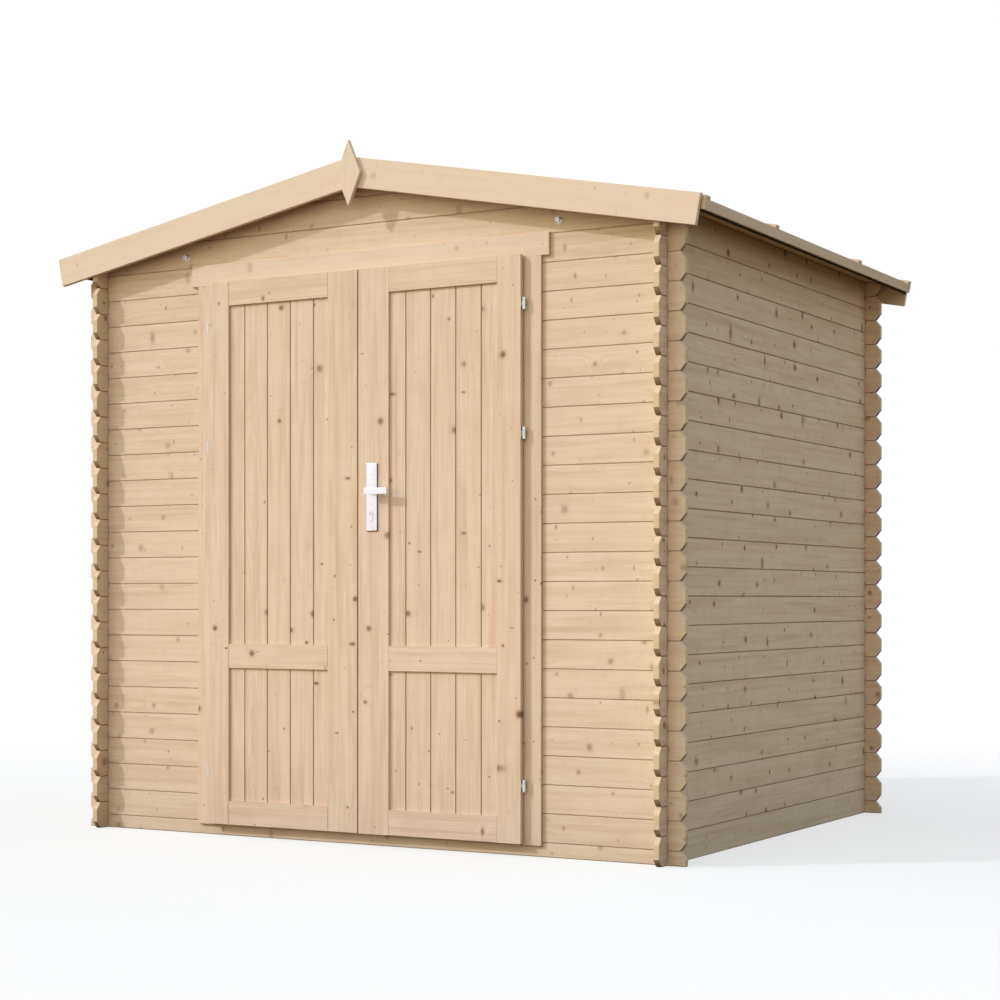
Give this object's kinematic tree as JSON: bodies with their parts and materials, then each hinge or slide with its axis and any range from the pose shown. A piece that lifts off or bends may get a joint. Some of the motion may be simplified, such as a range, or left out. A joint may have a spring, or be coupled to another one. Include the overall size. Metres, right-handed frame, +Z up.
{
  "type": "wooden garden shed",
  "caption": "Log-built wooden garden shed with crossed corner logs, a shallow gable roof under felt, bargeboards with a diamond finial and a hinged double door with a lever handle.",
  "frame": {"origin": "on the ground, in the middle of the walls", "axes": "+Z up, the double door faces -Y, +X to the right seen from the door side"},
  "size_m": [2.432, 1.922, 2.2328],
  "materials": {
    "log_pine": "planed softwood",
    "planed_pine": "planed softwood",
    "roof_pine": "planed softwood",
    "roofing_felt": "mineral felt",
    "zinc_steel": "zinc plated",
    "satin_aluminium": "satin"
  },
  "bodies": {
    "shed": {"left_wall_odd_logs": "log_pine", "left_wall_even_logs": "log_pine", "right_wall_odd_logs": "log_pine", "right_wall_even_logs": "log_pine", "back_wall_odd_logs": "log_pine", "back_wall_even_logs": "log_pine", "front_left_odd_logs": "log_pine", "front_left_even_logs": "log_pine", "front_right_odd_logs": "log_pine", "front_right_even_logs": "log_pine", "front_gable_odd_logs": "log_pine", "front_gable_even_logs": "log_pine", "front_sill_log": "log_pine", "right_jamb": "planed_pine", "left_jamb": "planed_pine", "door_header": "planed_pine", "right_eaves_strip": "planed_pine", "left_eaves_strip": "planed_pine", "right_felt_battens": "planed_pine", "left_felt_battens": "planed_pine", "right_front_barge": "planed_pine", "left_front_barge": "planed_pine", "right_back_barge": "planed_pine", "left_back_barge": "planed_pine", "front_finial": "planed_pine", "back_finial": "planed_pine", "ridge_purlin": "roof_pine", "side_purlins": "roof_pine", "right_roof_deck": "roof_pine", "left_roof_deck": "roof_pine", "right_roof_felt": "roofing_felt", "left_roof_felt": "roofing_felt", "right_jamb_hinges": "zinc_steel", "left_jamb_hinges": "zinc_steel"},
    "left_door": {"left_door_stiles": "planed_pine", "left_door_rails": "planed_pine", "left_door_boards": "planed_pine", "left_door_hinges": "zinc_steel"},
    "right_door": {"right_door_stiles": "planed_pine", "right_door_rails": "planed_pine", "right_door_boards": "planed_pine", "right_door_hinges": "zinc_steel", "outer_handle_plate": "satin_aluminium", "inner_handle_plate": "satin_aluminium"},
    "lever": {"lever_handle": "satin_aluminium"}
  },
  "joints": [
    {"name": "left_door_swing", "type": "hinge", "parent": "shed", "child": "left_door", "pos_m": [-0.598, -0.897, 0.935], "axis": [0, 0, -1], "range_deg": [0, 165]},
    {"name": "right_door_swing", "type": "hinge", "parent": "shed", "child": "right_door", "pos_m": [0.598, -0.897, 0.935], "axis": [0, 0, 1], "range_deg": [0, 165]},
    {"name": "lever_turn", "type": "hinge", "parent": "right_door", "child": "lever", "pos_m": [0.0555, -0.897, 1.124], "axis": [0, 1, 0], "range_deg": [0, 45], "stiffness_Nm_per_rad": 1.5, "springref_deg": -34.38}
  ]
}
